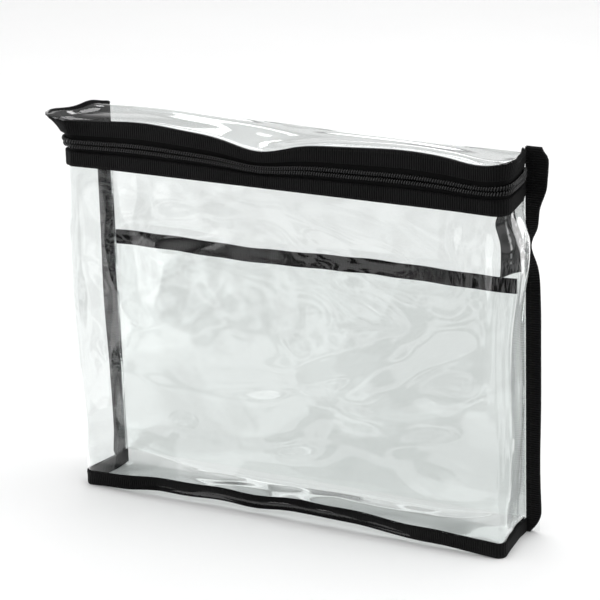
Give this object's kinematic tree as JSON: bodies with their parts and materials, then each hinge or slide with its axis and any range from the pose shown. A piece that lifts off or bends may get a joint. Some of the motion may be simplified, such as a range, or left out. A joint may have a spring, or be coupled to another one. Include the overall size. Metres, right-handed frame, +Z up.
{
  "type": "clear zip pouch",
  "caption": "Clear sheet makeup bag with black ribbon-bound seams, an inner pocket, and a lid that a coil zipper closes round three sides.",
  "frame": {"origin": "middle of the base, on the surface that the bag stands on", "axes": "+X to the right along the bag's length, +Y towards the back panel, +Z up"},
  "size_m": [0.2788, 0.0462, 0.224],
  "materials": {
    "clear_sheet": "clear flexible vinyl sheet, glossy",
    "grosgrain": "black ribbed grosgrain ribbon",
    "zip_tape": "black woven polyester zipper tape",
    "coil": "black nylon coil",
    "slider_metal": "black enamel on die-cast zinc",
    "satin": "black woven satin",
    "thread": "black polyester thread"
  },
  "bodies": {
    "bag": {"front_wrap_sheet": "clear_sheet", "back_sheet": "clear_sheet", "pocket_sheet": "clear_sheet", "pocket_binding": "grosgrain", "body_binding": "grosgrain", "lower_band_binding": "grosgrain", "lower_zip_tape": "zip_tape", "lower_coil": "coil", "lower_coil_cord": "thread", "label_tab": "satin", "lower_band_thread": "thread", "body_thread": "thread", "pocket_thread": "thread"},
    "lid": {"lid_sheet": "clear_sheet", "upper_band_binding": "grosgrain", "upper_zip_tape": "zip_tape", "upper_coil": "coil", "upper_coil_cord": "thread", "upper_band_thread": "thread"},
    "slider": {"slider_body": "slider_metal"},
    "puller": {"puller": "slider_metal"}
  },
  "joints": [
    {"name": "lid_fold", "type": "hinge", "parent": "bag", "child": "lid", "pos_m": [0, 0.02245, 0.224], "axis": [-1, 0, 0], "range_deg": [0, 180]},
    {"name": "slider_run", "type": "slide", "parent": "bag", "child": "slider", "axis": [-0.1501, -0.9887, 0], "range_m": [0, 0.018]},
    {"name": "puller_swing", "type": "hinge", "parent": "slider", "child": "puller", "pos_m": [-0.13606, 0.01198, 0.2098], "axis": [0, 0, -1], "range_deg": [0, 130]}
  ]
}
